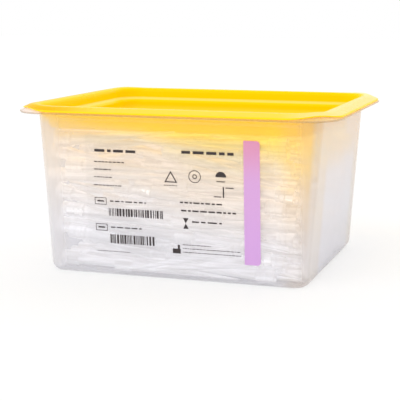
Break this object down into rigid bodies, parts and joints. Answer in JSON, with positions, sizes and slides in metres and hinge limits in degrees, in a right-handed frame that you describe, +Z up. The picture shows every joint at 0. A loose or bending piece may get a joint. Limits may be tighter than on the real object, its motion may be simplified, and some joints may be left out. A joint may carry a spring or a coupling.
{
  "type": "box of pipette tips",
  "caption": "Translucent tapered plastic tub with a yellow plug lid that lifts off, holding loose pipette tips, with a clear label and a lilac band on its front.",
  "frame": {"origin": "on the floor under the middle of the tub's base", "axes": "+X along the long side to the viewer's right, -Y out of the front with the label, +Z up"},
  "size_m": [0.1846, 0.1586, 0.0959],
  "materials": {
    "tub_plastic": "translucent, slightly frosted",
    "lid_plastic": "translucent yellow, glossy",
    "tip_plastic": "natural polypropylene",
    "label_plastic": "clear film",
    "band_ink": "printed lilac band"
  },
  "bodies": {
    "tub": {"tub": "tub_plastic", "label_film": "label_plastic", "label_band": "band_ink", "tip_01": "tip_plastic", "tip_02": "tip_plastic", "tip_03": "tip_plastic", "tip_04": "tip_plastic", "tip_05": "tip_plastic", "tip_06": "tip_plastic", "tip_07": "tip_plastic", "tip_08": "tip_plastic", "tip_09": "tip_plastic", "tip_10": "tip_plastic", "tip_11": "tip_plastic", "tip_12": "tip_plastic", "tip_13": "tip_plastic", "tip_14": "tip_plastic", "tip_15": "tip_plastic", "tip_16": "tip_plastic", "tip_17": "tip_plastic", "tip_18": "tip_plastic", "tip_19": "tip_plastic", "tip_20": "tip_plastic", "tip_21": "tip_plastic", "tip_22": "tip_plastic", "tip_23": "tip_plastic", "tip_24": "tip_plastic", "tip_25": "tip_plastic", "tip_26": "tip_plastic", "tip_27": "tip_plastic", "tip_28": "tip_plastic", "tip_29": "tip_plastic", "tip_30": "tip_plastic", "tip_31": "tip_plastic", "tip_32": "tip_plastic", "tip_33": "tip_plastic", "tip_34": "tip_plastic", "tip_35": "tip_plastic", "tip_36": "tip_plastic", "tip_37": "tip_plastic", "tip_38": "tip_plastic", "tip_39": "tip_plastic", "tip_40": "tip_plastic"},
    "lid": {"lid": "lid_plastic"}
  },
  "joints": [
    {"name": "lid_lift", "type": "slide", "parent": "tub", "child": "lid", "axis": [0, 0, 1], "range_m": [0, 0.06]}
  ]
}
